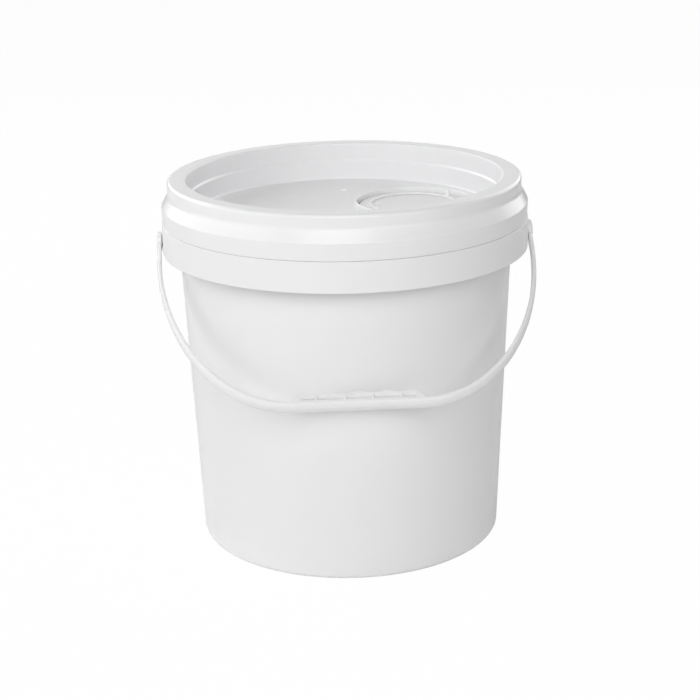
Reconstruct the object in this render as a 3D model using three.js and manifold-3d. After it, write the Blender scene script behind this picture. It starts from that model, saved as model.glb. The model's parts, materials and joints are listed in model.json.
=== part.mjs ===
// A ten litre moulded pail with a push-on lid, a screw-in spout cap and a swinging bail.
// Millimetres, +Z up. The origin is the centre of the foot ring's standing face.
// The bail's pivots lie on X, and the bail hangs down in front, towards -Y.
import * as THREE from "three";
import { mergeVertices } from "three/addons/utils/BufferGeometryUtils.js";
import Module from "manifold-3d";

const wasm = await Module();
wasm.setup();

// Pail wall and foot
const footRadius = 111.3;
const shoulderRadius = 120.5;
const wall = 1.8;
const footFillet = 4;
const baseRise = 3;
const baseThickness = 2;
const footRingWidth = 9;

// Pail collar, the skirt that stands out round the top
const skirtBottom = 216.4;
const skirtHeight = 21.8;
const skirtWall = 2;
const skirtGap = 9.1;
const skirtRound = 1.2;
const ribCount = 16;
const ribThickness = 1.5;
const ribEndGap = 3.5;

// Pail rim above the collar
const rimHeight = 25.8;
const rimBead = 2.65;
const beadHeight = 5.5;
const lockRing = 4.9;
const lockRingHeight = 2.4;
const lockRingRise = 9;
const beadRound = 0.9;

// Lid
const fit = 0.4;
const seat = 0.3;
const lidWall = 1.9;
const lidRoof = 2;
const lidSetback = 0.3;
const lidFoot = 0.5;
const lidTaper = 0.5;
const lidStepRise = 11.5;
const lidStepDrop = 4.2;
const crestRound = 2.4;
const lidRound = 1;
const rimBand = 13.5;
const recessDepth = 27.7;
const recessDraft = 2;
const recessStepDepth = 14;
const recessStep = 1.3;
const panelThickness = 2;
const plugWall = 2;
const plugFinDepth = 17;
const finThickness = 1.2;
const lugHeight = 1.6;
const lugRise = 4.4;

// Lid gasket, a flat rubber ring in the roof of the lid's channel
const gasketHeight = 2.1;

// Small round pip on the lid's panel
const pipRadius = 3.5;
const pipHeight = 1.2;
const pipReach = 69.7;
const pipAngle = THREE.MathUtils.degToRad(87);

// Spout, right of the lid's centre
const spoutReach = 50;
const bossRadius = 42.5;
const bossWall = 2.8;
const bossHeight = 6.5;
const bossRound = 0.8;
const neckBore = 29.2;
const neckWall = 2;
const neckDepth = 10;
const flangeWidth = 5.8;
const flangeThickness = 1.2;
const lipWidth = 1.8;
const lipHeight = 1.5;
const sealWidth = 4.4;
const sealThickness = 0.9;

// Spout cap and the two half-round pull rings that lie on it
const capOverhang = 3.8;
const capThickness = 1.5;
const capRound = 0.6;
const plugSkirt = 1.8;
const plugDepth = 9;
const ringWidth = 3.2;
const ringThickness = 1.7;
const ringInset = 2;
const ringHingeOffset = 4.5;
const ringTurn = THREE.MathUtils.degToRad(212);
const tabWidth = 4;
const tabThickness = 1.8;
const tabHeight = 3;

// Bail, one moulding with a straight ribbed grip
const pivotRise = 6.7;
const pinRadius = 3.7;
const pinClearance = 0.4;
const pinHead = 1.5;
const pinHeadLength = 2.5;
const eyeRadius = 7;
const eyeGap = 0.9;
const legThickness = 3.2;
const railThickness = 4.4;
const legWidth = 7;
const railWidth = 10;
const legStraight = 15.5;
const widthRunStart = 30;
const widthRunEnd = 110;
const strapRound = 0.9;
const gripHalfFlat = 45;
const swingClearance = 10.4;
const gripDepth = 11;
const flangeWall = 2;
const webThickness = 2;
const fingerPitch = 19.2;
const fingerCount = 4;
const fingerDepth = 1.3;
const gripFoot = 7.5;
const gripRib = 1.6;
const restGap = 1.2;

// Facets round the big turned parts, the small ones, the bail's pins and the pip
const bigFacets = 60;
const smallFacets = 48;
const pinFacets = 24;
const pipFacets = 16;

// Steps in a fillet, in a quarter of the strap or a pull ring, and in one finger of the grip
const filletSteps = 2;
const strapSteps = 14;
const fingerSteps = 8;

// How far joined shapes run into each other, and how close corners are the same corner
const overlap = 0.5;
const sameCorner = 1e-4;

// Sizes that follow from those above
const skirtTop = skirtBottom + skirtHeight;
const rimTop = skirtTop + rimHeight;
const draft = (shoulderRadius - footRadius) / skirtBottom;
const wallRadius = (z) => footRadius + draft * z;
const innerRadius = (z) => wallRadius(z) - wall;
const skirtRadius = wallRadius(skirtTop) + skirtGap + skirtWall;
const rimRadius = wallRadius(rimTop) + rimBead;

const lidBottom = skirtTop + lidFoot;
const lidInside = rimRadius + fit;
const lidRadius = lidInside + lidWall;
const lidSkirtRadius = skirtRadius - lidSetback;
const channelRoof = rimTop + gasketHeight + 2 * seat;
const lidTop = channelRoof + lidRoof;
const panelTop = lidTop - recessDepth;
const panelBottom = panelTop - panelThickness;
const recessRadius = lidRadius - rimBand;

const neckRadius = neckBore + neckWall;
const boreInLid = neckRadius + fit;
const flangeBottom = panelTop + seat;
const flangeTop = flangeBottom + flangeThickness;
const neckBottom = panelTop - neckDepth;
const sealBottom = flangeTop + seat;
const capBottom = sealBottom + sealThickness + seat;
const capTop = capBottom + capThickness;
const capRadius = neckRadius + capOverhang;
const plugRadius = neckBore - fit;
const ringBottom = capTop + seat;
const ringTop = ringBottom + ringThickness;
const ringRadius = capRadius - ringInset;

const pivotZ = skirtBottom + pivotRise;
const halfSpan = skirtRadius + eyeGap + legThickness / 2;
const gripInside = Math.hypot(lidRadius, lidTop - pivotZ) + swingClearance;
const reach = gripInside + gripDepth - railThickness / 2;
const bailTilt = restingTilt();

function material(color, roughness) {
  return new THREE.MeshStandardMaterial({ color, roughness, metalness: 0 });
}

const pailPlastic = () => material(0xeff0f0, 0.38);
const lidPlastic = () => material(0xf1f2f2, 0.34);
const spoutPlastic = () => material(0xeceeee, 0.42);
const bailPlastic = () => material(0xf3f4f4, 0.4);
const gasketRubber = () => material(0x8d8f90, 0.75);
const linerFoam = () => material(0xe4e5e2, 0.85);

// The bail hangs until the grip's nearer edge is restGap off the sloping wall:
// inside * sin(tilt) - half * cos(tilt) equals the wall's radius there plus the gap.
function restingTilt() {
  const half = railWidth / 2;
  const along = gripInside + draft * half;
  const across = draft * gripInside - half;
  const distance = wallRadius(pivotZ) + restGap;
  return Math.asin(distance / Math.hypot(along, across)) - Math.atan2(across, along);
}

// Corners [x, y, round] become points, and one with a round becomes a short curve in filletSteps.
// round is the length that the curve takes off each side.
function rounded(corners, closed) {
  const points = [];
  corners.forEach(([x, y, round], i) => {
    const corner = new THREE.Vector2(x, y);
    const isEnd = !closed && (i === 0 || i === corners.length - 1);
    if (!round || isEnd) {
      points.push(corner);
      return;
    }
    const before = new THREE.Vector2(...corners[(i + corners.length - 1) % corners.length]);
    const after = new THREE.Vector2(...corners[(i + 1) % corners.length]);
    const back = before.sub(corner).normalize();
    const ahead = after.sub(corner).normalize();
    const start = corner.clone().addScaledVector(back, round);
    const end = corner.clone().addScaledVector(ahead, round);
    const curve = new THREE.QuadraticBezierCurve(start, corner, end);
    points.push(...curve.getPoints(filletSteps));
  });
  return points;
}

// Turns a profile of [radius, height, round] corners about Z. One that leaves the axis is a ring.
function turned(corners, facets) {
  const isRing = corners[0][0] > 0;
  const points = rounded(corners, isRing);
  if (isRing) {
    points.push(points[0].clone());
  }
  const geometry = new THREE.LatheGeometry(points, facets);
  geometry.rotateX(Math.PI / 2);
  return geometry;
}

function toSolid(geometry) {
  const bare = geometry.index ? geometry.toNonIndexed() : geometry.clone();
  bare.deleteAttribute("normal");
  bare.deleteAttribute("uv");
  const merged = mergeVertices(bare, sameCorner);
  const vertProperties = new Float32Array(merged.attributes.position.array);
  const triVerts = new Uint32Array(merged.index.array);
  return new wasm.Manifold(new wasm.Mesh({ numProp: 3, vertProperties, triVerts }));
}

function toGeometry(solid) {
  const mesh = solid.getMesh();
  const geometry = new THREE.BufferGeometry();
  geometry.setAttribute("position", new THREE.BufferAttribute(mesh.vertProperties, 3));
  geometry.setIndex(new THREE.BufferAttribute(mesh.triVerts, 1));
  geometry.computeVertexNormals();
  return geometry;
}

function ringSolid(corners, facets) {
  return toSolid(turned(corners, facets));
}

function boxSolid(width, depth, height, x, y, z) {
  return toSolid(new THREE.BoxGeometry(width, depth, height).translate(x, y, z));
}

// A round bar along X, from one x to another
function barSolid(radius, from, to) {
  const bar = new THREE.CylinderGeometry(radius, radius, Math.abs(to - from), pinFacets);
  bar.rotateZ(Math.PI / 2).translate((from + to) / 2, 0, 0);
  return toSolid(bar);
}

function named(name, geometry, finish) {
  const mesh = new THREE.Mesh(geometry, finish);
  mesh.name = name;
  return mesh;
}

function pailProfile() {
  const ringInside = footRadius - footRingWidth;
  const flangeZ = skirtTop - skirtWall;
  const lockBottom = skirtTop + lockRingRise;
  const lockTop = lockBottom + lockRingHeight;
  const lockRadius = wallRadius(lockTop) + lockRing;
  const beadBottom = rimTop - beadHeight;
  const floorZ = baseRise + baseThickness;
  return [
    [0, baseRise],
    [ringInside, baseRise],
    [ringInside + baseRise / 2, 0],
    [footRadius, 0, footFillet],
    [wallRadius(flangeZ), flangeZ],
    [skirtRadius - skirtWall, flangeZ],
    [skirtRadius - skirtWall, skirtBottom],
    [skirtRadius, skirtBottom],
    [skirtRadius, skirtTop, skirtRound],
    [wallRadius(skirtTop), skirtTop],
    [wallRadius(lockBottom), lockBottom],
    [lockRadius, lockBottom + lockRingHeight / 2],
    [lockRadius, lockTop],
    [wallRadius(lockTop), lockTop],
    [wallRadius(beadBottom), beadBottom],
    [rimRadius, beadBottom + rimBead],
    [rimRadius, rimTop, beadRound],
    [innerRadius(rimTop), rimTop],
    [innerRadius(floorZ), floorZ, footFillet],
    [0, floorZ],
  ];
}

// Upright ribs between the wall and the skirt, spaced to leave the pivots free
function collarRib(index) {
  const inside = wallRadius(skirtBottom) - wall / 2;
  const length = skirtRadius - skirtWall / 2 - inside;
  const top = skirtTop - skirtWall / 2;
  const bottom = skirtBottom + ribEndGap;
  const rib = new THREE.BoxGeometry(length, ribThickness, top - bottom);
  rib.translate(inside + length / 2, 0, (top + bottom) / 2);
  rib.rotateZ(((index + 0.5) * 2 * Math.PI) / ribCount);
  return toSolid(rib);
}

function pail() {
  let solid = ringSolid(pailProfile(), bigFacets);
  for (let i = 0; i < ribCount; i++) {
    solid = solid.add(collarRib(i));
  }
  for (const side of [-1, 1]) {
    const hole = barSolid(pinRadius + pinClearance, side * (skirtRadius - skirtGap), side * halfSpan);
    solid = solid.subtract(hole.translate(0, 0, pivotZ));
  }
  return named("pail", toGeometry(solid), pailPlastic());
}

function lidProfile() {
  const stepZ = lidBottom + lidStepRise;
  const skirtInside = lidSkirtRadius - lidWall;
  const lugZ = lidBottom + lugRise;
  const lockRadius = wallRadius(skirtTop + lockRingRise + lockRingHeight) + lockRing;
  const lugRadius = lockRadius + fit;
  const panelRadius = recessRadius - recessDraft - recessStep;
  const midZ = lidTop - recessStepDepth;
  const finZ = lidTop - plugFinDepth;
  const finRadius = innerRadius(finZ - finThickness) - fit;
  return [
    [0, panelBottom],
    [panelRadius + plugWall, panelBottom],
    [recessRadius - recessDraft / 2 - recessStep + plugWall, finZ - 2 * finThickness],
    [finRadius, finZ - finThickness],
    [finRadius, finZ],
    [recessRadius - recessDraft / 2 + plugWall, finZ + finThickness],
    [recessRadius + plugWall, channelRoof],
    [lidInside, channelRoof],
    [lidInside, stepZ + lidStepDrop - lidWall / 2],
    [skirtInside, stepZ - lidWall / 2],
    [skirtInside - lidTaper, lugZ + 2 * lugHeight],
    [lugRadius, lugZ + lugHeight],
    [lugRadius, lugZ],
    [skirtInside - lidTaper, lugZ - lugHeight],
    [skirtInside - lidTaper, lidBottom],
    [lidSkirtRadius - lidTaper, lidBottom],
    [lidSkirtRadius, stepZ, lidRound],
    [lidRadius, stepZ + lidStepDrop],
    [lidRadius, lidTop, crestRound],
    [recessRadius, lidTop, lidRound],
    [recessRadius - recessDraft / 2, midZ + recessStep],
    [recessRadius - recessDraft / 2 - recessStep, midZ],
    [panelRadius, panelTop, lidRound],
    [0, panelTop],
  ];
}

function spoutBoss() {
  const inside = bossRadius - bossWall;
  const foot = panelTop - panelThickness / 2;
  const boss = ringSolid([
    [inside, foot],
    [bossRadius, foot],
    [bossRadius, panelTop + bossHeight, bossRound],
    [inside, panelTop + bossHeight, bossRound],
  ], smallFacets);
  return boss.translate(spoutReach, 0, 0);
}

function lid() {
  const pipTop = pipRadius - pipHeight / 2;
  const pip = new THREE.CylinderGeometry(pipTop, pipRadius, pipHeight + overlap, pipFacets);
  pip.rotateX(Math.PI / 2);
  pip.translate(pipReach * Math.cos(pipAngle), pipReach * Math.sin(pipAngle), 0);
  pip.translate(0, 0, panelTop + (pipHeight - overlap) / 2);
  const bore = new THREE.CylinderGeometry(boreInLid, boreInLid, 3 * panelThickness, smallFacets);
  bore.rotateX(Math.PI / 2).translate(spoutReach, 0, (panelTop + panelBottom) / 2);
  let solid = ringSolid(lidProfile(), bigFacets);
  solid = solid.add(spoutBoss()).add(toSolid(pip)).subtract(toSolid(bore));
  return named("lid", toGeometry(solid), lidPlastic());
}

function lidGasket() {
  const bottom = rimTop + seat;
  const profile = [
    [innerRadius(rimTop), bottom],
    [rimRadius - beadRound, bottom],
    [rimRadius - beadRound, bottom + gasketHeight],
    [innerRadius(rimTop), bottom + gasketHeight],
  ];
  return named("lid_gasket", turned(profile, bigFacets), gasketRubber());
}

function spoutNeck() {
  const lipTop = panelBottom - seat;
  const profile = [
    [neckBore, neckBottom],
    [neckRadius, neckBottom],
    [neckRadius, lipTop - lipHeight - lipWidth],
    [neckRadius + lipWidth, lipTop - lipHeight],
    [neckRadius + lipWidth, lipTop],
    [neckRadius, lipTop],
    [neckRadius, flangeBottom],
    [neckRadius + flangeWidth, flangeBottom],
    [neckRadius + flangeWidth, flangeTop, flangeThickness / 2],
    [neckBore, flangeTop],
  ];
  return named("spout_neck", turned(profile, smallFacets), spoutPlastic());
}

function capSeal() {
  const profile = [
    [neckBore, sealBottom],
    [neckBore + sealWidth, sealBottom],
    [neckBore + sealWidth, sealBottom + sealThickness],
    [neckBore, sealBottom + sealThickness],
  ];
  return named("cap_seal", turned(profile, smallFacets), linerFoam());
}

// The block between the two pull rings' ends, which their film hinges join
function hingeBlock(side) {
  const width = 2 * (ringHingeOffset - seat);
  const height = ringTop - capTop;
  const y = side * (ringRadius - ringWidth / 2);
  const z = (ringTop + capTop - overlap) / 2;
  return boxSolid(width, ringWidth, height + overlap, 0, y, z);
}

function spoutCap() {
  const plugInside = plugRadius - plugSkirt;
  let solid = ringSolid([
    [0, capBottom],
    [plugInside, capBottom],
    [plugInside, capBottom - plugDepth],
    [plugRadius, capBottom - plugDepth, plugSkirt / 2],
    [plugRadius, capBottom],
    [capRadius, capBottom],
    [capRadius, capTop, capRound],
    [0, capTop],
  ], smallFacets);
  const blocks = hingeBlock(1).add(hingeBlock(-1)).rotate([0, 0, THREE.MathUtils.radToDeg(ringTurn)]);
  solid = solid.add(blocks);
  return named("spout_cap", toGeometry(solid), spoutPlastic());
}

// Half a flat ring, cut along its hinge line, with a finger tab standing at its middle
function pullRing(name, turn) {
  const inside = ringRadius - ringWidth;
  const outerEnd = Math.acos(ringHingeOffset / ringRadius);
  const innerEnd = Math.acos(ringHingeOffset / inside);
  const outline = new THREE.Shape();
  outline.absarc(0, 0, ringRadius, -outerEnd, outerEnd, false);
  outline.absarc(0, 0, inside, innerEnd, -innerEnd, true);
  outline.closePath();
  const settings = { depth: ringThickness, bevelEnabled: false, curveSegments: strapSteps };
  const half = new THREE.ExtrudeGeometry(outline, settings).translate(0, 0, ringBottom);
  const tabX = ringRadius - tabThickness / 2;
  const tabZ = ringTop + (tabHeight - overlap) / 2;
  const tab = boxSolid(tabThickness, tabWidth, tabHeight + overlap, tabX - seat, 0, tabZ);
  const solid = toSolid(half).add(tab);
  const mesh = named(name, toGeometry(solid), spoutPlastic());
  mesh.rotation.z = turn;
  return mesh;
}

function spout() {
  const group = new THREE.Group();
  group.add(spoutNeck(), capSeal(), spoutCap());
  group.add(pullRing("pull_ring_front", ringTurn));
  group.add(pullRing("pull_ring_back", ringTurn - Math.PI));
  group.position.x = spoutReach;
  return group;
}

// A flat outline becomes a bar with its edges bevelled, centred on the bail's plane.
function bevelledBar(outline) {
  const depth = railWidth - 2 * strapRound;
  const settings = {
    depth,
    bevelThickness: strapRound,
    bevelSize: strapRound,
    bevelOffset: -strapRound,
    bevelSegments: 1,
  };
  return toSolid(new THREE.ExtrudeGeometry(outline, settings).translate(0, 0, -depth / 2));
}

// One side of the strap's edge, from the pivot line over the grip to the other pivot line.
// offset is -1 on the inner edge and 1 on the outer edge.
function strapEdge(offset) {
  const sideHalf = (offset * legThickness) / 2;
  const endHalf = (offset * railThickness) / 2;
  const sideAxis = halfSpan - gripHalfFlat + sideHalf;
  const endAxis = reach - legStraight + endHalf;
  const quarter = new THREE.EllipseCurve(gripHalfFlat, legStraight, sideAxis, endAxis, 0, Math.PI / 2);
  const right = [new THREE.Vector2(halfSpan + sideHalf, 0), ...quarter.getPoints(strapSteps)];
  const left = right.map((p) => new THREE.Vector2(-p.x, p.y)).reverse();
  return [...right, ...left];
}

function strapSolid() {
  const outline = new THREE.Shape([...strapEdge(1), ...strapEdge(-1).reverse()]);
  return bevelledBar(outline).intersect(strapWidthSolid());
}

// The strap's width seen from the side: narrow at the legs, wide along the grip
function strapWidthSolid() {
  const low = -eyeRadius;
  const high = reach + railThickness;
  const narrow = legWidth / 2;
  const wide = railWidth / 2;
  const corners = [
    [low, -narrow],
    [widthRunStart, -narrow],
    [widthRunEnd, -wide],
    [high, -wide],
    [high, wide],
    [widthRunEnd, wide],
    [widthRunStart, narrow],
    [low, narrow],
  ];
  const outline = new THREE.Shape(corners.map(([x, y]) => new THREE.Vector2(x, y)));
  const settings = { depth: 2 * halfSpan + 2 * legThickness, bevelEnabled: false };
  const solid = new THREE.ExtrudeGeometry(outline, settings);
  // The outline's x is the reach from the pivots, its y the width, and its depth runs along X.
  const axes = new THREE.Matrix4().makeBasis(
    new THREE.Vector3(0, 1, 0), new THREE.Vector3(0, 0, 1), new THREE.Vector3(1, 0, 0),
  );
  solid.applyMatrix4(axes).translate(-halfSpan - legThickness, 0, 0);
  return toSolid(solid);
}

// The grip's outline: a wavy inner edge for the fingers and sloping feet that meet the rail
function gripOutline() {
  const halfWave = (fingerCount * fingerPitch) / 2;
  const steps = fingerCount * fingerSteps;
  const points = [];
  for (let i = 0; i <= steps; i++) {
    const x = -halfWave + (2 * halfWave * i) / steps;
    const wave = (1 - Math.cos((2 * Math.PI * (x + halfWave)) / fingerPitch)) / 2;
    points.push(new THREE.Vector2(x, gripInside + fingerDepth * wave));
  }
  points.push(new THREE.Vector2(halfWave + gripFoot, reach), new THREE.Vector2(-halfWave - gripFoot, reach));
  return new THREE.Shape(points);
}

// Pockets on both faces of the grip, one between each pair of ribs
function gripPockets() {
  const top = gripInside + fingerDepth + flangeWall;
  const bottom = reach - railThickness / 2;
  const height = bottom - top;
  const depth = (railWidth - webThickness) / 2;
  const middle = webThickness / 2 + depth;
  const pockets = [];
  for (let i = 0; i <= fingerCount; i++) {
    const isEnd = i === 0 || i === fingerCount;
    const width = (isEnd ? fingerPitch / 2 : fingerPitch) - gripRib;
    const centre = (i - fingerCount / 2) * fingerPitch;
    const shift = isEnd ? (Math.sign(-centre) * (fingerPitch / 2)) / 2 : 0;
    for (const side of [-1, 1]) {
      const y = (top + bottom) / 2;
      pockets.push(boxSolid(width, height, 2 * depth, centre + shift, y, side * middle));
    }
  }
  return pockets;
}

function gripSolid() {
  return gripPockets().reduce((solid, pocket) => solid.subtract(pocket), bevelledBar(gripOutline()));
}

// The round eye at a leg's end with the pin and head that snap through the skirt
function bailEnd(side) {
  const eyeInside = halfSpan - legThickness / 2;
  const headOutside = skirtRadius - skirtWall - fit - seat;
  const headInside = headOutside - pinHeadLength;
  const eye = barSolid(eyeRadius, side * eyeInside, side * (halfSpan + legThickness / 2));
  const pin = barSolid(pinRadius, side * headInside, side * halfSpan);
  const head = barSolid(pinRadius + pinHead, side * headInside, side * headOutside);
  return eye.add(pin).add(head);
}

function bailHandle() {
  const solid = strapSolid().add(gripSolid()).add(bailEnd(1)).add(bailEnd(-1));
  const mesh = named("bail_handle", toGeometry(solid), bailPlastic());
  const group = new THREE.Group();
  group.add(mesh);
  group.position.z = pivotZ;
  group.rotation.x = -(Math.PI / 2 + bailTilt);
  return group;
}

const group = new THREE.Group();
group.name = "bucket";
group.add(pail(), lid(), lidGasket(), spout(), bailHandle());

export default group;
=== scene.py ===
import json
import math

import bmesh
import bpy
import numpy as np
from mathutils import Matrix, Vector


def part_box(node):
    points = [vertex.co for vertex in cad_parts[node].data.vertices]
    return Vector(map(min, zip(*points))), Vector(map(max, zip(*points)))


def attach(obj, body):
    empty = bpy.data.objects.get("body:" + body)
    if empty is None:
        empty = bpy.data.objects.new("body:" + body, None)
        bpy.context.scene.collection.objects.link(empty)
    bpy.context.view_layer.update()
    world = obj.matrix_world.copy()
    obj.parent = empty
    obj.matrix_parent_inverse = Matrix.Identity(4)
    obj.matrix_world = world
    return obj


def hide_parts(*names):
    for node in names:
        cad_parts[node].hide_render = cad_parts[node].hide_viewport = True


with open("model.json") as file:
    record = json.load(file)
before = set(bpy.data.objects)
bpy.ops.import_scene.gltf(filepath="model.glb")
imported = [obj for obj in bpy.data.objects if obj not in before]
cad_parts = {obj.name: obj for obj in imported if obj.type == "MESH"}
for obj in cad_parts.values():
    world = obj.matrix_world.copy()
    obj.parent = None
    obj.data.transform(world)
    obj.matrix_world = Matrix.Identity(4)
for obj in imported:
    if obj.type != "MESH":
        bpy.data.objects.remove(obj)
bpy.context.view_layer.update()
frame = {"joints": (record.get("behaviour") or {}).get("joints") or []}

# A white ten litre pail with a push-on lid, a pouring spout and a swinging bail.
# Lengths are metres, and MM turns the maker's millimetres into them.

MM = 0.001

# Columns of the wide, the small and the smallest turned pieces, and steps of their corners' arcs
COLUMNS = 360
SMALL_COLUMNS = 160
PIN_COLUMNS = 64
ARC_STEPS = 6
SECTION_ARC_STEPS = 5
BEVEL_STEPS = 3

# The share of a side that a round may take, half the angle past which a corner counts as straight, the
# distance at which points are merged, and the angle from which an edge stays sharp
CORNER_ROOM = 0.48
NEARLY_STRAIGHT = math.radians(89)
SAME_POINT = 1e-7
SHARP_EDGE = math.radians(35)

# Rounds that many corners share
CRISP_ROUND = 0.2 * MM
FINE_ROUND = 0.3 * MM
THIN_ROUND = 0.4 * MM
SLIGHT_ROUND = 0.5 * MM
SMALL_ROUND = 0.6 * MM
SOFT_ROUND = 0.8 * MM
MIDDLE_ROUND = 1 * MM
WIDE_ROUND = 1.2 * MM

# Rounds of single corners
PLUG_TOP_ROUND = 0.1 * MM
COLLAR_TOP_ROUND = 0.25 * MM
COLLAR_FOOT_ROUND = 0.7 * MM
RIM_INNER_ROUND = 0.9 * MM
EYE_ROUND = 1.1 * MM
RECESS_ROUND = 1.3 * MM
SKIRT_ROUND = 1.4 * MM
PLUG_FOOT_ROUND = 1.5 * MM
PANEL_ROUND = 1.6 * MM
CREST_ROUND = 2.6 * MM
SHOULDER_ROUND = 6 * MM

# Sizes of the plastics' patterns, how far their roughness strays, and the values a noise mostly keeps to
CLOUD_SIZE = 70 * MM
SWELL_SIZE = 28 * MM
SKIN_SIZE = 12 * MM
GLOSS_SPREAD = 0.012
NOISE_LOW = 0.3
NOISE_HIGH = 0.7

# Places that the frame gives
lid_low, lid_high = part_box("lid")
cap_low, cap_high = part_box("spout_cap")
LID_TOP = lid_high.z
LID_FOOT = lid_low.z
RIM_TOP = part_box("pail")[1].z
SPOUT_X = (cap_low.x + cap_high.x) / 2
PIVOT_Z = next(j for j in frame["joints"] if j["name"] == "bail_swing")["pos_m"][2]

# Pail
FOOT_RADIUS = 111.3 * MM
SHOULDER_RADIUS = 120.5 * MM
WALL = 1.8 * MM
FOOT_ROUND = 4 * MM
BASE_RISE = 3 * MM
BASE_THICKNESS = 2 * MM
FOOT_RING = 9 * MM
COLLAR_BOTTOM = 216.4 * MM
COLLAR_HEIGHT = 21.8 * MM
COLLAR_WALL = 2 * MM
COLLAR_GAP = 9.1 * MM
COLLAR_TOP = COLLAR_BOTTOM + COLLAR_HEIGHT
RIB_COUNT = 16
RIB_THICKNESS = 1.5 * MM
RIB_END_GAP = 3.5 * MM
RIM_BEAD = 2.65 * MM
BEAD_HEIGHT = 5.5 * MM
LOCK_RING = 4.9 * MM
LOCK_HEIGHT = 2.4 * MM
LOCK_RISE = 9 * MM

# Lid
FIT = 0.4 * MM
SEAT = 0.3 * MM
LID_WALL = 1.9 * MM
LID_ROOF = 2 * MM
LID_SETBACK = 0.3 * MM
LID_TAPER = 0.5 * MM
STEP_RISE = 11.5 * MM
CHANNEL_STEP = 4.2 * MM
SHOULDER_RISE = 8.5 * MM
RIM_BAND = 13.5 * MM
RECESS_DEPTH = 27.7 * MM
RECESS_DRAFT = 2 * MM
RECESS_STEP_DEPTH = 14 * MM
RECESS_STEP = 1.3 * MM
PANEL = 2 * MM
PLUG_WALL = 2 * MM
FIN_DEPTH = 17 * MM
FIN_THICKNESS = 1.2 * MM
LUG_HEIGHT = 1.6 * MM
LUG_RISE = 4.4 * MM
GASKET_HEIGHT = 2.1 * MM
GASKET_INSET = 0.9 * MM
PIP_RADIUS = 3.5 * MM
PIP_HEIGHT = 1.2 * MM
PIP_REACH = 69.7 * MM
PIP_ANGLE = math.radians(87)

# Spout
BOSS_RADIUS = 42.7 * MM
BOSS_LIP = 1.6 * MM
BOSS_WALL = 3 * MM
BOSS_HEIGHT = 7.3 * MM
NECK_BORE = 29.2 * MM
NECK_WALL = 2 * MM
NECK_DEPTH = 10 * MM
FLANGE_WIDTH = 5.8 * MM
FLANGE_THICKNESS = 1.2 * MM
LIP_WIDTH = 1.8 * MM
LIP_HEIGHT = 1.5 * MM
SEAL_WIDTH = 4.4 * MM
SEAL_THICKNESS = 0.9 * MM
CAP_OVERHANG = 3.8 * MM
CAP_FLARE = 4.2 * MM
CAP_THICKNESS = 0.9 * MM
PLUG_SKIRT = 1.8 * MM
PLUG_DEPTH = 9 * MM
RING_WIDTH = 3.2 * MM
RING_THICKNESS = 1.1 * MM
RING_INSET = 2 * MM
RING_HINGE = 4.5 * MM
RING_TURN = math.radians(212)
TAB_WIDTH = 4 * MM
TAB_THICKNESS = 1.8 * MM
TAB_HEIGHT = 4.2 * MM

# Bail
PIN_RADIUS = 3.7 * MM
PIN_CLEARANCE = 0.4 * MM
PIN_HEAD = 1.5 * MM
PIN_HEAD_LENGTH = 2.5 * MM
EYE_RADIUS = 7 * MM
EYE_GAP = 0.9 * MM
EYE_PROUD = 0.2 * MM
LEG_THICKNESS = 3.2 * MM
RAIL_THICKNESS = 4.4 * MM
LEG_WIDTH = 7 * MM
RAIL_WIDTH = 10 * MM
LEG_STRAIGHT = 15.5 * MM
WIDTH_START = 30 * MM
WIDTH_END = 110 * MM
GRIP_HALF = 45 * MM
SWING_CLEARANCE = 10.4 * MM
GRIP_DEPTH = 11 * MM
FLANGE = 1.4 * MM
WEB = 4 * MM
POCKET_SHALLOW = 0.28
FINGER_PITCH = 19.2 * MM
FINGERS = 4
FINGER_DEPTH = 1.3 * MM
GRIP_RIB = 1.6 * MM
GRIP_FOOT_START = 0.5 * MM
GRIP_FOOT_END = 9 * MM
POCKET_SLOPE = 0.45 * MM
SLOT_START = 0.5
SLOT_FULL = 0.72
STRAP_ROUND = 0.9 * MM
CROWN_SHARE = 1.6
OUTER_ROUND_SHARE = 0.24
REST_GAP = 1.2 * MM

# Stations along the bail and points round its section
LEG_STATIONS = 12
BEND_STATIONS = 90
RAIL_STATIONS = 362
ROUND_POINTS = 7
FACE_POINTS = 42
CROWN_POINTS = 13

# Hairline gaps, finer than the solids' own clearances
SEAM = 0.15 * MM
CONTACT = 0.03 * MM

# Studio
ROOM_LIGHT = 0.01
FLOOR_HALF = 9.0
FLOOR_GLOW = 0.98
PART_MIDDLE = (0, 0, 0.13)

# Sizes that follow
DRAFT = (SHOULDER_RADIUS - FOOT_RADIUS) / COLLAR_BOTTOM


def wall_radius(z):
    """The tapered wall's outer radius at height z."""
    return FOOT_RADIUS + DRAFT * z


def inner_radius(z):
    """The tapered wall's inner radius at height z."""
    return wall_radius(z) - WALL


COLLAR_RADIUS = wall_radius(COLLAR_TOP) + COLLAR_GAP + COLLAR_WALL
RIM_RADIUS = wall_radius(RIM_TOP) + RIM_BEAD
LOCK_TOP = COLLAR_TOP + LOCK_RISE + LOCK_HEIGHT
LOCK_RADIUS = wall_radius(LOCK_TOP) + LOCK_RING
LID_INSIDE = RIM_RADIUS + FIT
LID_RADIUS = LID_INSIDE + LID_WALL
LID_SKIRT = COLLAR_RADIUS - LID_SETBACK
CHANNEL_ROOF = LID_TOP - LID_ROOF
PANEL_TOP = LID_TOP - RECESS_DEPTH
PANEL_BOTTOM = PANEL_TOP - PANEL
RECESS_RADIUS = LID_RADIUS - RIM_BAND
NECK_RADIUS = NECK_BORE + NECK_WALL
FLANGE_BOTTOM = PANEL_TOP + SEAT
FLANGE_TOP = FLANGE_BOTTOM + FLANGE_THICKNESS
SEAL_BOTTOM = FLANGE_TOP + SEAT
CAP_BOTTOM = SEAL_BOTTOM + SEAL_THICKNESS + SEAT
CAP_TOP = CAP_BOTTOM + CAP_THICKNESS
CAP_RADIUS = NECK_RADIUS + CAP_OVERHANG
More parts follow.
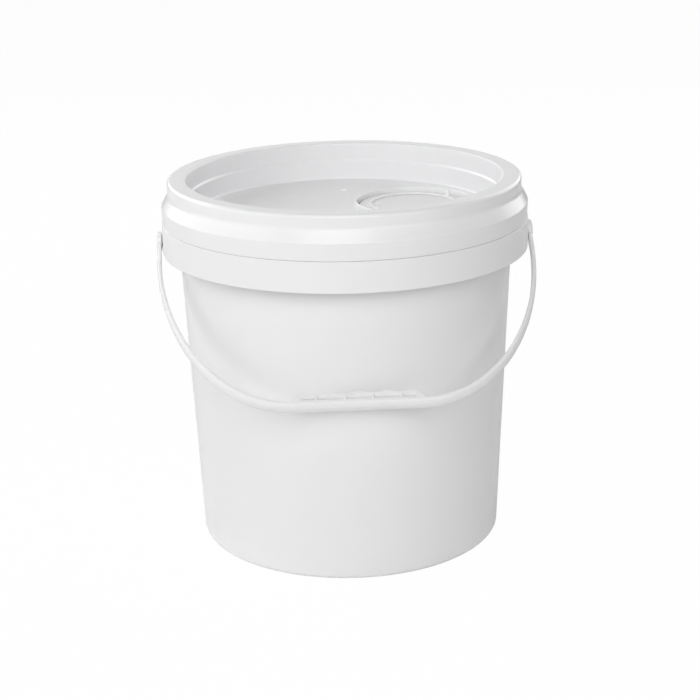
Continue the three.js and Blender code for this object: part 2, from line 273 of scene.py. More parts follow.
PLUG_RADIUS = NECK_BORE - FIT
RING_BOTTOM = CAP_TOP + CONTACT
RING_TOP = CAP_TOP + SEAT + RING_THICKNESS
RING_RADIUS = CAP_RADIUS - RING_INSET
CAP_EDGE = CAP_RADIUS + CAP_FLARE
HALF_SPAN = COLLAR_RADIUS + EYE_GAP + LEG_THICKNESS / 2
GRIP_INSIDE = math.hypot(LID_RADIUS, LID_TOP - PIVOT_Z) + SWING_CLEARANCE
REACH = GRIP_INSIDE + GRIP_DEPTH - RAIL_THICKNESS / 2


def resting_tilt():
    """The bail's angle from hanging straight down, where the grip's near edge is REST_GAP off the wall."""
    half = RAIL_WIDTH / 2
    along = GRIP_INSIDE + DRAFT * half
    across = DRAFT * GRIP_INSIDE - half
    distance = wall_radius(PIVOT_Z) + REST_GAP
    return math.asin(distance / math.hypot(along, across)) - math.atan2(across, along)


def smooth(low, high, x):
    """0 below low, 1 above high, and an S-shaped rise between them."""
    t = np.clip((x - low) / (high - low), 0, 1)
    return t * t * (3 - 2 * t)


def rounded(corners, steps=ARC_STEPS):
    """Rows (radius, height, centre) round a closed outline of (radius, height, round, centre) corners.
    A corner with a round becomes the arc of that radius that touches both its sides."""
    rows = []
    for i, (x, y, radius, centre) in enumerate(corners):
        here = np.array([x, y])
        before = np.array(corners[i - 1][:2]) - here
        after = np.array(corners[(i + 1) % len(corners)][:2]) - here
        room = CORNER_ROOM * min(np.linalg.norm(before), np.linalg.norm(after))
        before, after = before / np.linalg.norm(before), after / np.linalg.norm(after)
        half = math.acos(np.clip(before @ after, -1, 1)) / 2
        if radius == 0 or half > NEARLY_STRAIGHT:
            rows.append([[x, y, centre]])
            continue
        radius = min(radius, room * math.tan(half))
        length = radius / math.tan(half)
        middle = here + (before + after) / np.linalg.norm(before + after) * radius / math.sin(half)
        start, end = here + before * length - middle, here + after * length - middle
        turn = math.pi - 2 * half
        s = np.linspace(0, 1, steps + 1)[:, None]
        arc = (np.sin((1 - s) * turn) * start + np.sin(s * turn) * end) / math.sin(turn) + middle
        rows.append(np.column_stack([arc, np.full(len(arc), centre)]))
    return np.vstack(rows)


def placed(name, data):
    """A new object at the origin, linked to the scene."""
    thing = bpy.data.objects.new(name, data)
    bpy.context.scene.collection.objects.link(thing)
    return thing


def closed_mesh(name, points, ring):
    """A closed mesh from a grid of rows by columns of points. Columns wrap round, and so do the rows of a
    ring. Otherwise the first and last rows are each a single point or shrink to one."""
    rows, columns = points.shape[:2]
    index = np.arange(rows * columns).reshape(rows, columns)
    index = np.hstack([index, index[:, :1]])
    if ring:
        index = np.vstack([index, index[:1]])
    quads = np.stack([index[:-1, :-1], index[:-1, 1:], index[1:, 1:], index[1:, :-1]], -1)
    mesh = bpy.data.meshes.new(name)
    mesh.from_pydata(points.reshape(-1, 3).tolist(), [], quads.reshape(-1, 4).tolist())
    shape = bmesh.new()
    shape.from_mesh(mesh)
    bmesh.ops.remove_doubles(shape, verts=shape.verts, dist=SAME_POINT)
    bmesh.ops.dissolve_degenerate(shape, edges=shape.edges, dist=SAME_POINT)
    bmesh.ops.recalc_face_normals(shape, faces=shape.faces)
    shape.to_mesh(mesh)
    shape.free()
    return placed(name, mesh)


def turned(name, corners, columns=COLUMNS, centre=0.0):
    """Turns an outline about Z: a point is (centre + radius cos a, radius sin a, height). A corner that has
    a fourth number is turned about that centre instead."""
    rows = rounded([(x, y, radius, *(own or [centre])) for x, y, radius, *own in corners])
    angle = np.linspace(0, 2 * math.pi, columns, endpoint=False)
    x = rows[:, 2:3] + rows[:, :1] * np.cos(angle)
    y = rows[:, :1] * np.sin(angle)
    z = np.broadcast_to(rows[:, 1:2], x.shape)
    return closed_mesh(name, np.stack([x, y, z], -1), ring=corners[0][0] > 0)


def combine(base, tool, operation):
    """Joins a shape to base or cuts it from base, and removes it."""
    step = base.modifiers.new("combine", "BOOLEAN")
    step.operation = operation
    step.solver = "EXACT"
    step.object = tool
    graph = bpy.context.evaluated_depsgraph_get()
    result = bpy.data.meshes.new_from_object(base.evaluated_get(graph))
    base.modifiers.clear()
    base.data = result
    bpy.data.objects.remove(tool)
    return base


def move_points(thing, turn, offset):
    """Turns a shape's points about Z, then shifts them, and leaves its object at the origin."""
    cosine, sine = math.cos(turn), math.sin(turn)
    points = np.empty(len(thing.data.vertices) * 3)
    thing.data.vertices.foreach_get("co", points)
    x, y, z = points.reshape(-1, 3).T
    moved = np.column_stack([cosine * x - sine * y, sine * x + cosine * y, z]) + np.array(offset)
    thing.data.vertices.foreach_set("co", moved.ravel())
    thing.data.update()


def block(name, size, place, turn=0.0, round_off=FINE_ROUND):
    """A box with rounded upright and level edges, turned about Z round its own middle."""
    shape = bmesh.new()
    bmesh.ops.create_cube(shape, size=1)
    bmesh.ops.scale(shape, vec=size, verts=shape.verts)
    bmesh.ops.bevel(
        shape, geom=shape.edges, affect="EDGES", clamp_overlap=True,
        offset=round_off, segments=BEVEL_STEPS, profile=0.5,
    )
    mesh = bpy.data.meshes.new(name)
    shape.to_mesh(mesh)
    shape.free()
    thing = placed(name, mesh)
    move_points(thing, turn, place)
    return thing


def pin_bar(name, corners, side):
    """Turns an outline of (radius, distance out, round) about the pivot line on one side of the pail."""
    rows = rounded([(*corner, 0.0) for corner in corners])
    angle = np.linspace(0, 2 * math.pi, PIN_COLUMNS, endpoint=False)
    x = np.broadcast_to(side * rows[:, 1:2], (len(rows), PIN_COLUMNS))
    y = rows[:, :1] * np.cos(angle)
    z = PIVOT_Z + rows[:, :1] * np.sin(angle)
    return closed_mesh(name, np.stack([x, y, z], -1), ring=False)


def pail_shell():
    """The wall, floor, collar and rim are one outline turned about Z. Straight ribs join the collar to the
    wall, and round holes for the bail's pins are cut through the collar."""
    flange = COLLAR_TOP - COLLAR_WALL
    floor = BASE_RISE + BASE_THICKNESS
    lock = COLLAR_TOP + LOCK_RISE
    bead = RIM_TOP - BEAD_HEIGHT
    inside = FOOT_RADIUS - FOOT_RING
    collar_inside = COLLAR_RADIUS - COLLAR_WALL
    shell = turned("pail_shell", [
        (0, BASE_RISE, 0),
        (inside, BASE_RISE, WIDE_ROUND),
        (inside + BASE_RISE / 2, 0, SOFT_ROUND),
        (FOOT_RADIUS, 0, FOOT_ROUND),
        (wall_radius(flange), flange, MIDDLE_ROUND),
        (collar_inside, flange, SOFT_ROUND),
        (collar_inside, COLLAR_BOTTOM, SLIGHT_ROUND),
        (COLLAR_RADIUS, COLLAR_BOTTOM, COLLAR_FOOT_ROUND),
        (COLLAR_RADIUS, COLLAR_TOP, COLLAR_TOP_ROUND),
        (wall_radius(COLLAR_TOP), COLLAR_TOP, MIDDLE_ROUND),
        (wall_radius(lock), lock, FINE_ROUND),
        (LOCK_RADIUS, lock + LOCK_HEIGHT / 2, THIN_ROUND),
        (LOCK_RADIUS, LOCK_TOP, THIN_ROUND),
        (wall_radius(LOCK_TOP), LOCK_TOP, THIN_ROUND),
        (wall_radius(bead), bead, SLIGHT_ROUND),
        (RIM_RADIUS, bead + RIM_BEAD, SOFT_ROUND),
        (RIM_RADIUS, RIM_TOP, WIDE_ROUND),
        (inner_radius(RIM_TOP), RIM_TOP, RIM_INNER_ROUND),
        (inner_radius(floor), floor, FOOT_ROUND),
        (0, floor, 0),
    ])
    rib_inside = wall_radius(COLLAR_BOTTOM) - WALL / 2
    rib_outside = COLLAR_RADIUS - COLLAR_WALL / 2
    rib_top = COLLAR_TOP - COLLAR_WALL / 2
    rib_bottom = COLLAR_BOTTOM + RIB_END_GAP
    size = (rib_outside - rib_inside, RIB_THICKNESS, rib_top - rib_bottom)
    middle = (rib_inside + rib_outside) / 2
    for i in range(RIB_COUNT):
        turn = (i + 0.5) * 2 * math.pi / RIB_COUNT
        place = (middle * math.cos(turn), middle * math.sin(turn), (rib_top + rib_bottom) / 2)
        combine(shell, block("rib", size, place, turn), "UNION")
    hole = PIN_RADIUS + PIN_CLEARANCE
    for side in (-1, 1):
        cut = [(0, COLLAR_RADIUS - COLLAR_GAP, 0), (hole, COLLAR_RADIUS - COLLAR_GAP, 0)]
        cut += [(hole, HALF_SPAN, 0), (0, HALF_SPAN, 0)]
        combine(shell, pin_bar("pin_hole", cut, side), "DIFFERENCE")
    return shell


def lid_moulding():
    """The lid's outline runs once round its whole section. The panel's rows lead from the lid's own centre
    to the spout's, so that the boss and the bore are part of the same surface."""
    step = LID_FOOT + STEP_RISE
    foot = COLLAR_TOP + SEAM
    skirt_inside = LID_SKIRT - LID_WALL
    lug = LID_FOOT + LUG_RISE
    lug_radius = LOCK_RADIUS + FIT
    panel_radius = RECESS_RADIUS - RECESS_DRAFT - RECESS_STEP
    middle = LID_TOP - RECESS_STEP_DEPTH
    fin = LID_TOP - FIN_DEPTH
    fin_radius = inner_radius(fin - FIN_THICKNESS) - FIT
    below_step = RECESS_RADIUS - RECESS_DRAFT / 2 - RECESS_STEP
    bore = NECK_RADIUS + FIT
    boss_top = PANEL_TOP + BOSS_HEIGHT
    lid = turned("lid_moulding", [
        (bore, PANEL_BOTTOM, FINE_ROUND, SPOUT_X),
        (panel_radius + PLUG_WALL, PANEL_BOTTOM, PLUG_FOOT_ROUND),
        (below_step + PLUG_WALL, fin - 2 * FIN_THICKNESS, SLIGHT_ROUND),
        (fin_radius, fin - FIN_THICKNESS, FINE_ROUND),
        (fin_radius, fin, FINE_ROUND),
        (RECESS_RADIUS - RECESS_DRAFT / 2 + PLUG_WALL, fin + FIN_THICKNESS, SLIGHT_ROUND),
        (RECESS_RADIUS + PLUG_WALL, CHANNEL_ROOF, THIN_ROUND),
        (LID_INSIDE, CHANNEL_ROOF, SMALL_ROUND),
        (LID_INSIDE, step + CHANNEL_STEP - LID_WALL / 2, SOFT_ROUND),
        (skirt_inside, step - LID_WALL / 2, SOFT_ROUND),
        (skirt_inside - LID_TAPER, lug + 2 * LUG_HEIGHT, THIN_ROUND),
        (lug_radius, lug + LUG_HEIGHT, THIN_ROUND),
        (lug_radius, lug, THIN_ROUND),
        (skirt_inside - LID_TAPER, lug - LUG_HEIGHT, THIN_ROUND),
        (skirt_inside - LID_TAPER, foot, THIN_ROUND),
        (LID_SKIRT - LID_TAPER, foot, CRISP_ROUND),
        (LID_SKIRT, step, SKIRT_ROUND),
        (LID_RADIUS, step + SHOULDER_RISE, SHOULDER_ROUND),
        (LID_RADIUS, LID_TOP, CREST_ROUND),
        (RECESS_RADIUS, LID_TOP, RECESS_ROUND),
        (RECESS_RADIUS - RECESS_DRAFT / 2, middle + RECESS_STEP, SOFT_ROUND),
        (below_step, middle, SOFT_ROUND),
        (panel_radius, PANEL_TOP, PANEL_ROUND),
        (BOSS_RADIUS, PANEL_TOP, SOFT_ROUND, SPOUT_X),
        (BOSS_RADIUS, boss_top, MIDDLE_ROUND, SPOUT_X),
        (BOSS_RADIUS - BOSS_LIP, boss_top, MIDDLE_ROUND, SPOUT_X),
        (BOSS_RADIUS - BOSS_WALL, PANEL_TOP, SOFT_ROUND, SPOUT_X),
        (bore, PANEL_TOP, FINE_ROUND, SPOUT_X),
    ])
    pip = turned("pip", [
        (0, PANEL_TOP - PANEL / 2, 0),
        (PIP_RADIUS, PANEL_TOP - PANEL / 2, 0),
        (PIP_RADIUS, PANEL_TOP, 0),
        (PIP_RADIUS - PIP_HEIGHT / 2, PANEL_TOP + PIP_HEIGHT, SMALL_ROUND),
        (0, PANEL_TOP + PIP_HEIGHT, 0),
    ], PIN_COLUMNS)
    move_points(pip, 0, (PIP_REACH * math.cos(PIP_ANGLE), PIP_REACH * math.sin(PIP_ANGLE), 0))
    return combine(lid, pip, "UNION")


def gasket_ring():
    """A rectangle with rounded corners turned about Z, between the pail's rim and the channel's roof."""
    bottom = RIM_TOP + SEAT
    inside, outside = inner_radius(RIM_TOP), RIM_RADIUS - GASKET_INSET
    return turned("gasket_ring", [
        (inside, bottom, FINE_ROUND),
        (outside, bottom, FINE_ROUND),
        (outside, bottom + GASKET_HEIGHT, FINE_ROUND),
        (inside, bottom + GASKET_HEIGHT, FINE_ROUND),
    ])


def spout_neck_ring():
    """A tube with a flange over the panel and a lip under it, turned about the spout's axis."""
    lip = PANEL_BOTTOM - SEAT
    return turned("spout_neck_ring", [
        (NECK_BORE, PANEL_TOP - NECK_DEPTH, THIN_ROUND),
        (NECK_RADIUS, PANEL_TOP - NECK_DEPTH, SMALL_ROUND),
        (NECK_RADIUS, lip - LIP_HEIGHT - LIP_WIDTH, FINE_ROUND),
        (NECK_RADIUS + LIP_WIDTH, lip - LIP_HEIGHT, FINE_ROUND),
        (NECK_RADIUS + LIP_WIDTH, lip, FINE_ROUND),
        (NECK_RADIUS, lip, CRISP_ROUND),
        (NECK_RADIUS, FLANGE_BOTTOM, CRISP_ROUND),
        (NECK_RADIUS + FLANGE_WIDTH, FLANGE_BOTTOM, CRISP_ROUND),
        (NECK_RADIUS + FLANGE_WIDTH, FLANGE_TOP, SLIGHT_ROUND),
        (NECK_BORE, FLANGE_TOP, THIN_ROUND),
    ], SMALL_COLUMNS, SPOUT_X)


def seal_ring():
    """A flat ring turned about the spout's axis, between the neck's flange and the cap."""
    return turned("seal_ring", [
        (NECK_BORE, SEAL_BOTTOM, CRISP_ROUND),
        (NECK_BORE + SEAL_WIDTH, SEAL_BOTTOM, CRISP_ROUND),
        (NECK_BORE + SEAL_WIDTH, SEAL_BOTTOM + SEAL_THICKNESS, CRISP_ROUND),
        (NECK_BORE, SEAL_BOTTOM + SEAL_THICKNESS, CRISP_ROUND),
    ], SMALL_COLUMNS, SPOUT_X)


def cap_disc():
    """A disc with a hollow plug, turned about the spout's axis, and the two blocks on its rim between the
    ends of the pull rings."""
    plug_inside = PLUG_RADIUS - PLUG_SKIRT
    cap = turned("cap_disc", [
        (0, CAP_BOTTOM, 0),
        (plug_inside, CAP_BOTTOM, SOFT_ROUND),
        (plug_inside, CAP_BOTTOM - PLUG_DEPTH, SLIGHT_ROUND),
        (PLUG_RADIUS, CAP_BOTTOM - PLUG_DEPTH, SOFT_ROUND),
        (PLUG_RADIUS, CAP_BOTTOM, PLUG_TOP_ROUND),
        (CAP_EDGE, CAP_BOTTOM, FINE_ROUND),
        (CAP_EDGE, CAP_TOP, SLIGHT_ROUND),
        (0, CAP_TOP, 0),
    ], SMALL_COLUMNS, SPOUT_X)
    height = RING_TOP - CAP_TOP
    overlap = CAP_THICKNESS / 2
    reach = RING_RADIUS - RING_WIDTH / 2
    for side in (-1, 1):
        place = (
            SPOUT_X - side * reach * math.sin(RING_TURN),
            side * reach * math.cos(RING_TURN),
            RING_TOP - (height + overlap) / 2,
        )
        size = (2 * (RING_HINGE - SEAT), RING_WIDTH, height + overlap)
        combine(cap, block("hinge_block", size, place, RING_TURN, THIN_ROUND), "UNION")
    return cap


def rounded_section(width, height, radius):
    """Points (x, y) round a rectangle centred on the origin, with rounded corners."""
    x, y = width / 2, height / 2
    corners = [(-x, -y, radius, 0), (x, -y, radius, 0), (x, y, radius, 0), (-x, y, radius, 0)]
    return rounded(corners, SECTION_ARC_STEPS)[:, :2]


def capped(sections):
    """Adds a row at each end that shrinks to the end section's middle, which closes a bar."""
    first = np.broadcast_to(sections[0].mean(0), sections[0].shape)
    last = np.broadcast_to(sections[-1].mean(0), sections[-1].shape)
    return np.concatenate([first[None], sections, last[None]])


def pull_ring(name, turn):
    """Carries a rounded section round half a circle: its outer and inner edges run at their own angles,
    so that both ends lie on the hinge line. A small upright tab stands at the middle."""
    section = rounded_section(RING_WIDTH, RING_TOP - RING_BOTTOM, THIN_ROUND)
    inside = RING_RADIUS - RING_WIDTH
    s = np.linspace(-1, 1, SMALL_COLUMNS)[:, None]
    outer, inner = s * math.acos(RING_HINGE / RING_RADIUS), s * math.acos(RING_HINGE / inside)
    share = section[:, 0] / RING_WIDTH + 0.5
    x = (1 - share) * inside * np.cos(inner) + share * RING_RADIUS * np.cos(outer)
    y = (1 - share) * inside * np.sin(inner) + share * RING_RADIUS * np.sin(outer)
    z = np.broadcast_to(section[:, 1] + (RING_BOTTOM + RING_TOP) / 2, x.shape)
    ring = closed_mesh(name, capped(np.stack([x, y, z], -1)), ring=False)
    # Levels up the tab, from inside the ring to its top, and how much of its section is left at each
    rise = np.array([-1.0, 0.0, 0.5, 0.85, 0.97, 1.0])
    shrink = np.array([1.0, 1.0, 0.96, 0.86, 0.7, 0.4])
    tab = rounded_section(TAB_THICKNESS, TAB_WIDTH, SMALL_ROUND)
    place = RING_RADIUS - SEAT - TAB_THICKNESS / 2
    tab_x = place + shrink[:, None] * tab[:, 0]
    tab_y = shrink[:, None] * tab[:, 1]
    tab_z = np.broadcast_to(RING_TOP + TAB_HEIGHT * rise[:, None], tab_x.shape).copy()
    tab_z[0] = (RING_BOTTOM + RING_TOP) / 2
    combine(ring, closed_mesh("tab", capped(np.stack([tab_x, tab_y, tab_z], -1)), ring=False), "UNION")
    move_points(ring, turn, (SPOUT_X, 0, 0))
    return ring


def grip_edge(u):
    """Distance from the pivot line to the grip's inner edge: a cosine wave with one crest between each two
    fingers, then an S-shaped foot at each end that runs into the rail."""
    half = FINGERS * FINGER_PITCH / 2
    wave = FINGER_DEPTH * (1 - np.cos(2 * math.pi * (u + half) / FINGER_PITCH)) / 2
    foot = smooth(half - GRIP_FOOT_START, half + GRIP_FOOT_END, np.abs(u))
    drop = REACH - RAIL_THICKNESS / 2 - GRIP_INSIDE
    return GRIP_INSIDE + np.where(np.abs(u) < half, wave, 0) + foot * drop


def pocket_share(u, v):
    """How deep the grip's pockets are, from 0 on the ribs, flange and rail to 1 in the slot along the rail.
    The upper part of each pocket is shallow, POCKET_SHALLOW of the depth, and the walls slope."""
    half = FINGERS * FINGER_PITCH / 2
    slope = POCKET_SLOPE
    from_rib = np.abs((u + half) % FINGER_PITCH - FINGER_PITCH / 2)
    along = smooth(GRIP_RIB / 2, GRIP_RIB / 2 + slope, from_rib)
    along = along * (1 - smooth(half - slope, half, np.abs(u)))
    top = GRIP_INSIDE + FINGER_DEPTH + FLANGE
    bottom = REACH - RAIL_THICKNESS / 2
    height = (v - top) / (bottom - top)
    depth = POCKET_SHALLOW + (1 - POCKET_SHALLOW) * smooth(SLOT_START, SLOT_FULL, height)
    return along * depth * smooth(top, top + slope, v) * (1 - smooth(bottom - slope, bottom, v))


def bail_stations():
    """The strap's centre line from one pivot to the other, in the bail's plane: straight legs, a quarter of
    an ellipse on each side, and the straight rail of the grip. Returns place and outward direction."""
    quarter = np.linspace(0, math.pi / 2, BEND_STATIONS)[1:]
    side, end = HALF_SPAN - GRIP_HALF, REACH - LEG_STRAIGHT
    leg = np.linspace(0, LEG_STRAIGHT, LEG_STATIONS)
    u = np.concatenate([np.full(LEG_STATIONS, HALF_SPAN), GRIP_HALF + side * np.cos(quarter)])
    v = np.concatenate([leg, LEG_STRAIGHT + end * np.sin(quarter)])
    out_u = np.concatenate([np.ones(LEG_STATIONS), end * np.cos(quarter)])
    out_v = np.concatenate([np.zeros(LEG_STATIONS), side * np.sin(quarter)])
    rail = np.linspace(GRIP_HALF, -GRIP_HALF, RAIL_STATIONS)[1:-1]
    place = np.column_stack([
        np.concatenate([u, rail, -u[::-1]]),
        np.concatenate([v, np.full(len(rail), REACH), v[::-1]]),
    ])
    out = np.column_stack([
        np.concatenate([out_u, np.zeros(len(rail)), -out_u[::-1]]),
        np.concatenate([out_v, np.ones(len(rail)), out_v[::-1]]),
    ])
    return place, out / np.linalg.norm(out, axis=1, keepdims=True)


def strap_section(place):
    """The strap's section at every station, as (outward, across) offsets: flat inner side, two level sides
    that the grip's pockets hollow, and a crowned outer side. Each part is an arc or a straight run."""
    u, v = place[:, :1], place[:, 1:]
    thickness = LEG_THICKNESS + (RAIL_THICKNESS - LEG_THICKNESS) * smooth(LEG_STRAIGHT, REACH, v)
    half_width = (LEG_WIDTH + (RAIL_WIDTH - LEG_WIDTH) * smooth(WIDTH_START, WIDTH_END, v)) / 2
    on_rail = np.abs(u) < GRIP_HALF
    inner = np.where(on_rail, np.minimum(grip_edge(u) - v, -thickness / 2), -thickness / 2)
    inner_round = STRAP_ROUND
    crown = CROWN_SHARE * half_width
    outer_round = OUTER_ROUND_SHARE * half_width
    lift = np.arcsin((half_width - outer_round) / (crown - outer_round))
    crown_middle = thickness / 2 - crown
    round_middle = crown_middle + (crown - outer_round) * np.cos(lift)
    quarter = np.linspace(0, 1, ROUND_POINTS)
    face = np.linspace(0, 1, FACE_POINTS)[1:-1]
    right_angle = math.pi / 2
    inner_turn = right_angle * (2 - quarter)
    outer_turn = right_angle + quarter * (lift - right_angle)
    crown_turn = lift * np.linspace(1, -1, CROWN_POINTS)[1:-1]
    side_out = inner + inner_round + face * (round_middle - inner - inner_round)
    side_across = half_width - (half_width - WEB / 2) * pocket_share(u, v + side_out) * on_rail
    front_out = np.hstack([
        inner + inner_round + inner_round * np.cos(inner_turn),
        side_out,
        round_middle + outer_round * np.cos(outer_turn),
    ])
    front_across = np.hstack([
        half_width - inner_round + inner_round * np.sin(inner_turn),
        side_across,
        half_width - outer_round + outer_round * np.sin(outer_turn),
    ])
    flat = np.linspace(-1, 1, ROUND_POINTS)[1:-1]
    out = np.hstack([
        front_out,
        crown_middle + crown * np.cos(crown_turn),
        front_out[:, ::-1],
        np.broadcast_to(inner, (len(u), len(flat))),
    ])
    across = np.hstack([
        front_across,
        crown * np.sin(crown_turn),
        -front_across[:, ::-1],
        (half_width - inner_round) * flat,
    ])
    return out, across


def bail():
    """Carries the strap's section along its centre line in the tilted plane, then joins the eyes and pins."""
    tilt = resting_tilt()
    down = np.array([0, -math.sin(tilt), -math.cos(tilt)])
    normal = np.array([0, -math.cos(tilt), math.sin(tilt)])
    place, outward = bail_stations()
    out, across = strap_section(place)
    u = place[:, :1] + outward[:, :1] * out
    v = place[:, 1:] + outward[:, 1:] * out
    points = u[..., None] * np.array([1, 0, 0]) + v[..., None] * down + across[..., None] * normal
    strap = closed_mesh("bail", capped(points + np.array([0, 0, PIVOT_Z])), ring=False)
    head_out = COLLAR_RADIUS - COLLAR_WALL - FIT - SEAT
    head_in = head_out - PIN_HEAD_LENGTH
    eye_in = HALF_SPAN - LEG_THICKNESS / 2 - EYE_PROUD
    eye_out = HALF_SPAN + LEG_THICKNESS / 2 + EYE_PROUD
    for side in (-1, 1):
        eye = pin_bar("eye", [
            (0, head_in, 0),
            (PIN_RADIUS + PIN_HEAD, head_in, WIDE_ROUND),
            (PIN_RADIUS + PIN_HEAD, head_out, FINE_ROUND),
            (PIN_RADIUS, head_out, CRISP_ROUND),
            (PIN_RADIUS, eye_in, CRISP_ROUND),
            (EYE_RADIUS, eye_in, SMALL_ROUND),
            (EYE_RADIUS, eye_out, EYE_ROUND),
            (0, eye_out, 0),
        ], side)
        combine(strap, eye, "UNION")
    return strap


def linear(colour):
    """An sRGB hex colour as linear red, green, blue and full alpha."""
    values = [int(colour[i : i + 2], 16) / 255 for i in (1, 3, 5)]
    return [v / 12.92 if v <= 0.04045 else ((v + 0.055) / 1.055) ** 2.4 for v in values] + [1.0]


def add(tree, kind, settings=None, inputs=None):
    """Adds a node, sets its properties and its inputs, and links the inputs that are another's output."""
    node = tree.nodes.new(kind)
    for name, value in (settings or {}).items():
        setattr(node, name, value)
    for name, value in (inputs or {}).items():
        if isinstance(value, bpy.types.NodeSocket):
            tree.links.new(value, node.inputs[name])
        else:
            node.inputs[name].default_value = value
    return node


def empty_material(name):
    """A new material and its node tree, which starts empty."""
    material = bpy.data.materials.new(name)
    material.use_nodes = True
    material.node_tree.nodes.clear()
    return material, material.node_tree


def moulded_plastic(name, pale, deep, roughness, ior, waviness):
    """Injection-moulded thermoplastic. The slow noise is the cloudy tint of uneven pigment, the middle one
    the slight swell of a thin wall, which bends reflections, and the last the mould's own skin. That skin
    is a fraction of a millimetre in the real plastic and is drawn coarser here, so that it shows."""
    material, tree = empty_material(name)
    place = add(tree, "ShaderNodeTexCoord").outputs["Object"]
    cloud = add(tree, "ShaderNodeTexNoise", inputs={"Vector": place, "Scale": 1 / CLOUD_SIZE, "Detail": 2.0})
    swell = add(tree, "ShaderNodeTexNoise", inputs={"Vector": place, "Scale": 1 / SWELL_SIZE, "Detail": 0.0})
    skin = add(tree, "ShaderNodeTexNoise", inputs={"Vector": place, "Scale": 1 / SKIN_SIZE, "Detail": 0.0})
    tint = add(tree, "ShaderNodeMix", {"data_type": "RGBA"}, {"Factor": cloud.outputs["Fac"]})
    tint.inputs["A"].default_value = linear(deep)
    tint.inputs["B"].default_value = linear(pale)
    gloss = add(tree, "ShaderNodeMapRange", inputs={
        "Value": skin.outputs["Fac"],
        "From Min": NOISE_LOW,
        "From Max": NOISE_HIGH,
        "To Min": roughness - GLOSS_SPREAD,
        "To Max": roughness + GLOSS_SPREAD,
    })
    wave = add(tree, "ShaderNodeBump", inputs={
        "Height": swell.outputs["Fac"],
        "Strength": 1.0,
        "Distance": waviness,
    })
    surface = add(tree, "ShaderNodeBsdfPrincipled", inputs={
        "Base Color": tint.outputs["Result"],
        "Roughness": gloss.outputs["Result"],
        "IOR": ior,
        "Normal": wave.outputs["Normal"],
    })
    add(tree, "ShaderNodeOutputMaterial", inputs={"Surface": surface.outputs["BSDF"]})
    return material


def finish(thing, material, body, slot, *nodes):
    """Smooth shading with sharp corners kept, the finish, and the CAD body and nodes that it stands for."""
    mesh = thing.data
    mesh.polygons.foreach_set("use_smooth", np.ones(len(mesh.polygons), bool))
    mesh.set_sharp_from_angle(angle=SHARP_EDGE)
    mesh.materials.clear()
    mesh.materials.append(material)
    weigh = thing.modifiers.new("flat faces stay flat", "WEIGHTED_NORMAL")
    weigh.keep_sharp = True
    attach(thing, body)
    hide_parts(*nodes)


# Polypropylene from a polished mould: a clean white with a soft satin gloss
pail_plastic = moulded_plastic(
    "pail polypropylene", pale="#f4f4f4", deep="#f0f0f0", roughness=0.25, ior=1.49, waviness=0.04 * MM
)
# Polyethylene, a little softer and glossier than the pail
lid_plastic = moulded_plastic(
    "lid polyethylene", pale="#f4f4f5", deep="#f0f0f1", roughness=0.24, ior=1.53, waviness=0.04 * MM
)
# The spout's polyethylene, a shade duller
spout_plastic = moulded_plastic(
    "spout polyethylene", pale="#f3f3f3", deep="#efefef", roughness=0.26, ior=1.53, waviness=0.015 * MM
)
# The bail's polypropylene, stiff and satin
bail_plastic = moulded_plastic(
    "bail polypropylene", pale="#f5f5f5", deep="#f1f1f1", roughness=0.25, ior=1.49, waviness=0.015 * MM
)
# Nitrile rubber, matt grey with a dusty skin
gasket_rubber = moulded_plastic(
    "gasket nitrile rubber", pale="#949699", deep="#858789", roughness=0.7, ior=1.52, waviness=0.02 * MM
)
# Closed-cell polyethylene foam, matt and cloudy
liner_foam = moulded_plastic(
    "liner foam", pale="#e9e9e6", deep="#dfdfdb", roughness=0.85, ior=1.5, waviness=0.03 * MM
)

finish(pail_shell(), pail_plastic, "pail", "pail_plastic", "pail")
finish(lid_moulding(), lid_plastic, "lid", "lid_plastic", "lid")
finish(gasket_ring(), gasket_rubber, "lid", "gasket_rubber", "lid_gasket")
finish(spout_neck_ring(), spout_plastic, "lid", "spout_plastic", "spout_neck")
finish(seal_ring(), liner_foam, "cap", "liner_foam", "cap_seal")
finish(cap_disc(), spout_plastic, "cap", "spout_plastic", "spout_cap")
front_ring = pull_ring("front_pull_ring", RING_TURN)
back_ring = pull_ring("back_pull_ring", RING_TURN - math.pi)
finish(front_ring, spout_plastic, "front_ring", "spout_plastic", "pull_ring_front")
finish(back_ring, spout_plastic, "back_ring", "spout_plastic", "pull_ring_back")
finish(bail(), bail_plastic, "bail", "bail_plastic", "bail_handle")


def camera():
    """The photograph's viewpoint: its place, and axes worked out from its heading, dip and roll."""
    place = np.array([-62.8, -1198.3, 524.95]) * MM
    heading, dip, roll = np.radians([3.083, 18.013, 1.166])
    focal_pixels, frame_pixels, sensor = 1691.4, 700, 36
    ahead = np.array([math.sin(heading) * math.cos(dip), math.cos(heading) * math.cos(dip), -math.sin(dip)])
    level = np.array([math.cos(heading), -math.sin(heading), 0])
    above = np.cross(level, ahead)
    axes = np.eye(4)
    axes[:3, 0] = math.cos(roll) * level - math.sin(roll) * above
    axes[:3, 1] = math.sin(roll) * level + math.cos(roll) * above
    axes[:3, 2] = -ahead
    axes[:3, 3] = place
    data = bpy.data.cameras.new("camera")
    data.sensor_width = sensor
    data.lens = focal_pixels * sensor / frame_pixels
    eye = placed("camera", data)
    eye.matrix_world = Matrix(axes.tolist())
    bpy.context.scene.camera = eye


camera()


def soft_lamp(name, place, width, height, watts):
    """A rectangular soft box, white, that faces the part's middle."""
    data = bpy.data.lights.new(name, "AREA")
    data.shape = "RECTANGLE"
    data.size, data.size_y = width, height
    data.energy = watts
    lamp = placed(name, data)
    lamp.location = place
    lamp.rotation_mode = "QUATERNION"
    lamp.rotation_quaternion = (Vector(PART_MIDDLE) - Vector(place)).to_track_quat("-Z", "Y")


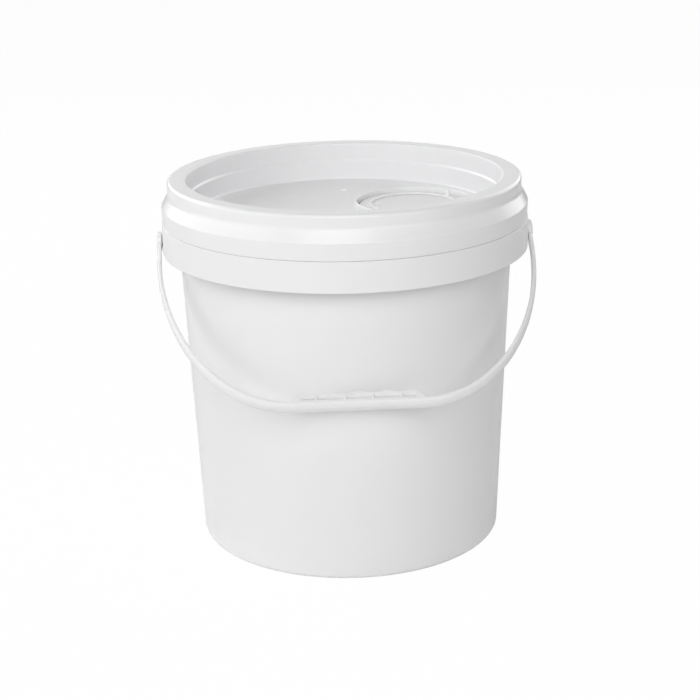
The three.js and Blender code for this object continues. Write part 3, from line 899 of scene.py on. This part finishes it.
def share_of(tree, outputs):
    """A node whose output is the greatest of several light path outputs."""
    highest = outputs[0]
    for output in outputs[1:]:
        highest = add(tree, "ShaderNodeMath", {"operation": "MAXIMUM"}, {0: highest, 1: output}).outputs[0]
    return highest


def white_world():
    """An even room light. The camera and the gloss see plain white instead of it."""
    world = bpy.data.worlds.new("studio")
    bpy.context.scene.world = world
    world.use_nodes = True
    tree = world.node_tree
    tree.nodes.clear()
    seen = add(tree, "ShaderNodeLightPath").outputs
    plain = share_of(tree, [seen["Is Camera Ray"], seen["Is Glossy Ray"], seen["Is Transmission Ray"]])
    room = add(tree, "ShaderNodeBackground", inputs={"Color": linear("#ffffff"), "Strength": ROOM_LIGHT})
    white = add(tree, "ShaderNodeBackground", inputs={"Color": linear("#ffffff"), "Strength": 1.0})
    mix = add(tree, "ShaderNodeMixShader", inputs={0: plain, 1: room.outputs[0], 2: white.outputs[0]})
    add(tree, "ShaderNodeOutputWorld", inputs={"Surface": mix.outputs[0]})


def sweep():
    """A wide paper floor. The camera sees FLOOR_GLOW of it as plain white glow and the rest as paper, which
    keeps a faint shadow of the part. Other rays see only paper."""
    corners = [(-FLOOR_HALF, -FLOOR_HALF, 0), (FLOOR_HALF, -FLOOR_HALF, 0)]
    corners += [(FLOOR_HALF, FLOOR_HALF, 0), (-FLOOR_HALF, FLOOR_HALF, 0)]
    mesh = bpy.data.meshes.new("floor")
    mesh.from_pydata(corners, [], [(0, 1, 2, 3)])
    floor = placed("floor", mesh)
    material, tree = empty_material("white paper sweep")
    seen = add(tree, "ShaderNodeLightPath").outputs["Is Camera Ray"]
    share = add(tree, "ShaderNodeMath", {"operation": "MULTIPLY"}, {0: seen, 1: FLOOR_GLOW})
    paper = add(tree, "ShaderNodeBsdfDiffuse", inputs={"Color": linear("#f4f4f4")})
    glow = add(tree, "ShaderNodeEmission", inputs={"Color": linear("#ffffff"), "Strength": 1.0})
    mix = add(tree, "ShaderNodeMixShader", inputs={
        0: share.outputs[0],
        1: paper.outputs[0],
        2: glow.outputs[0],
    })
    add(tree, "ShaderNodeOutputMaterial", inputs={"Surface": mix.outputs[0]})
    mesh.materials.append(material)


def studio():
    """The white room and floor, and six soft boxes round the part, whose places, sizes in metres and watts
    give the photograph's tones."""
    white_world()
    sweep()
    for name, place, width, height, watts in (
        ("left", (-1.8, -0.3, 0.8), 2.6, 1.7, 19),
        ("front", (-0.3, -1.7, 1.4), 1.4, 1.4, 17.3),
        ("right", (0.9, -1.7, 0.8), 1.6, 1.4, 10),
        ("back left", (-1.1, 1.3, 1.1), 1.4, 1.4, 12.8),
        ("back right", (1.2, 1.2, 0.9), 1.4, 1.4, 10.3),
        ("top", (0, 0, 1.8), 1.5, 1.5, 2.4),
    ):
        soft_lamp(name, place, width, height, watts)


studio()

bpy.context.scene.view_settings.view_transform = "Standard"
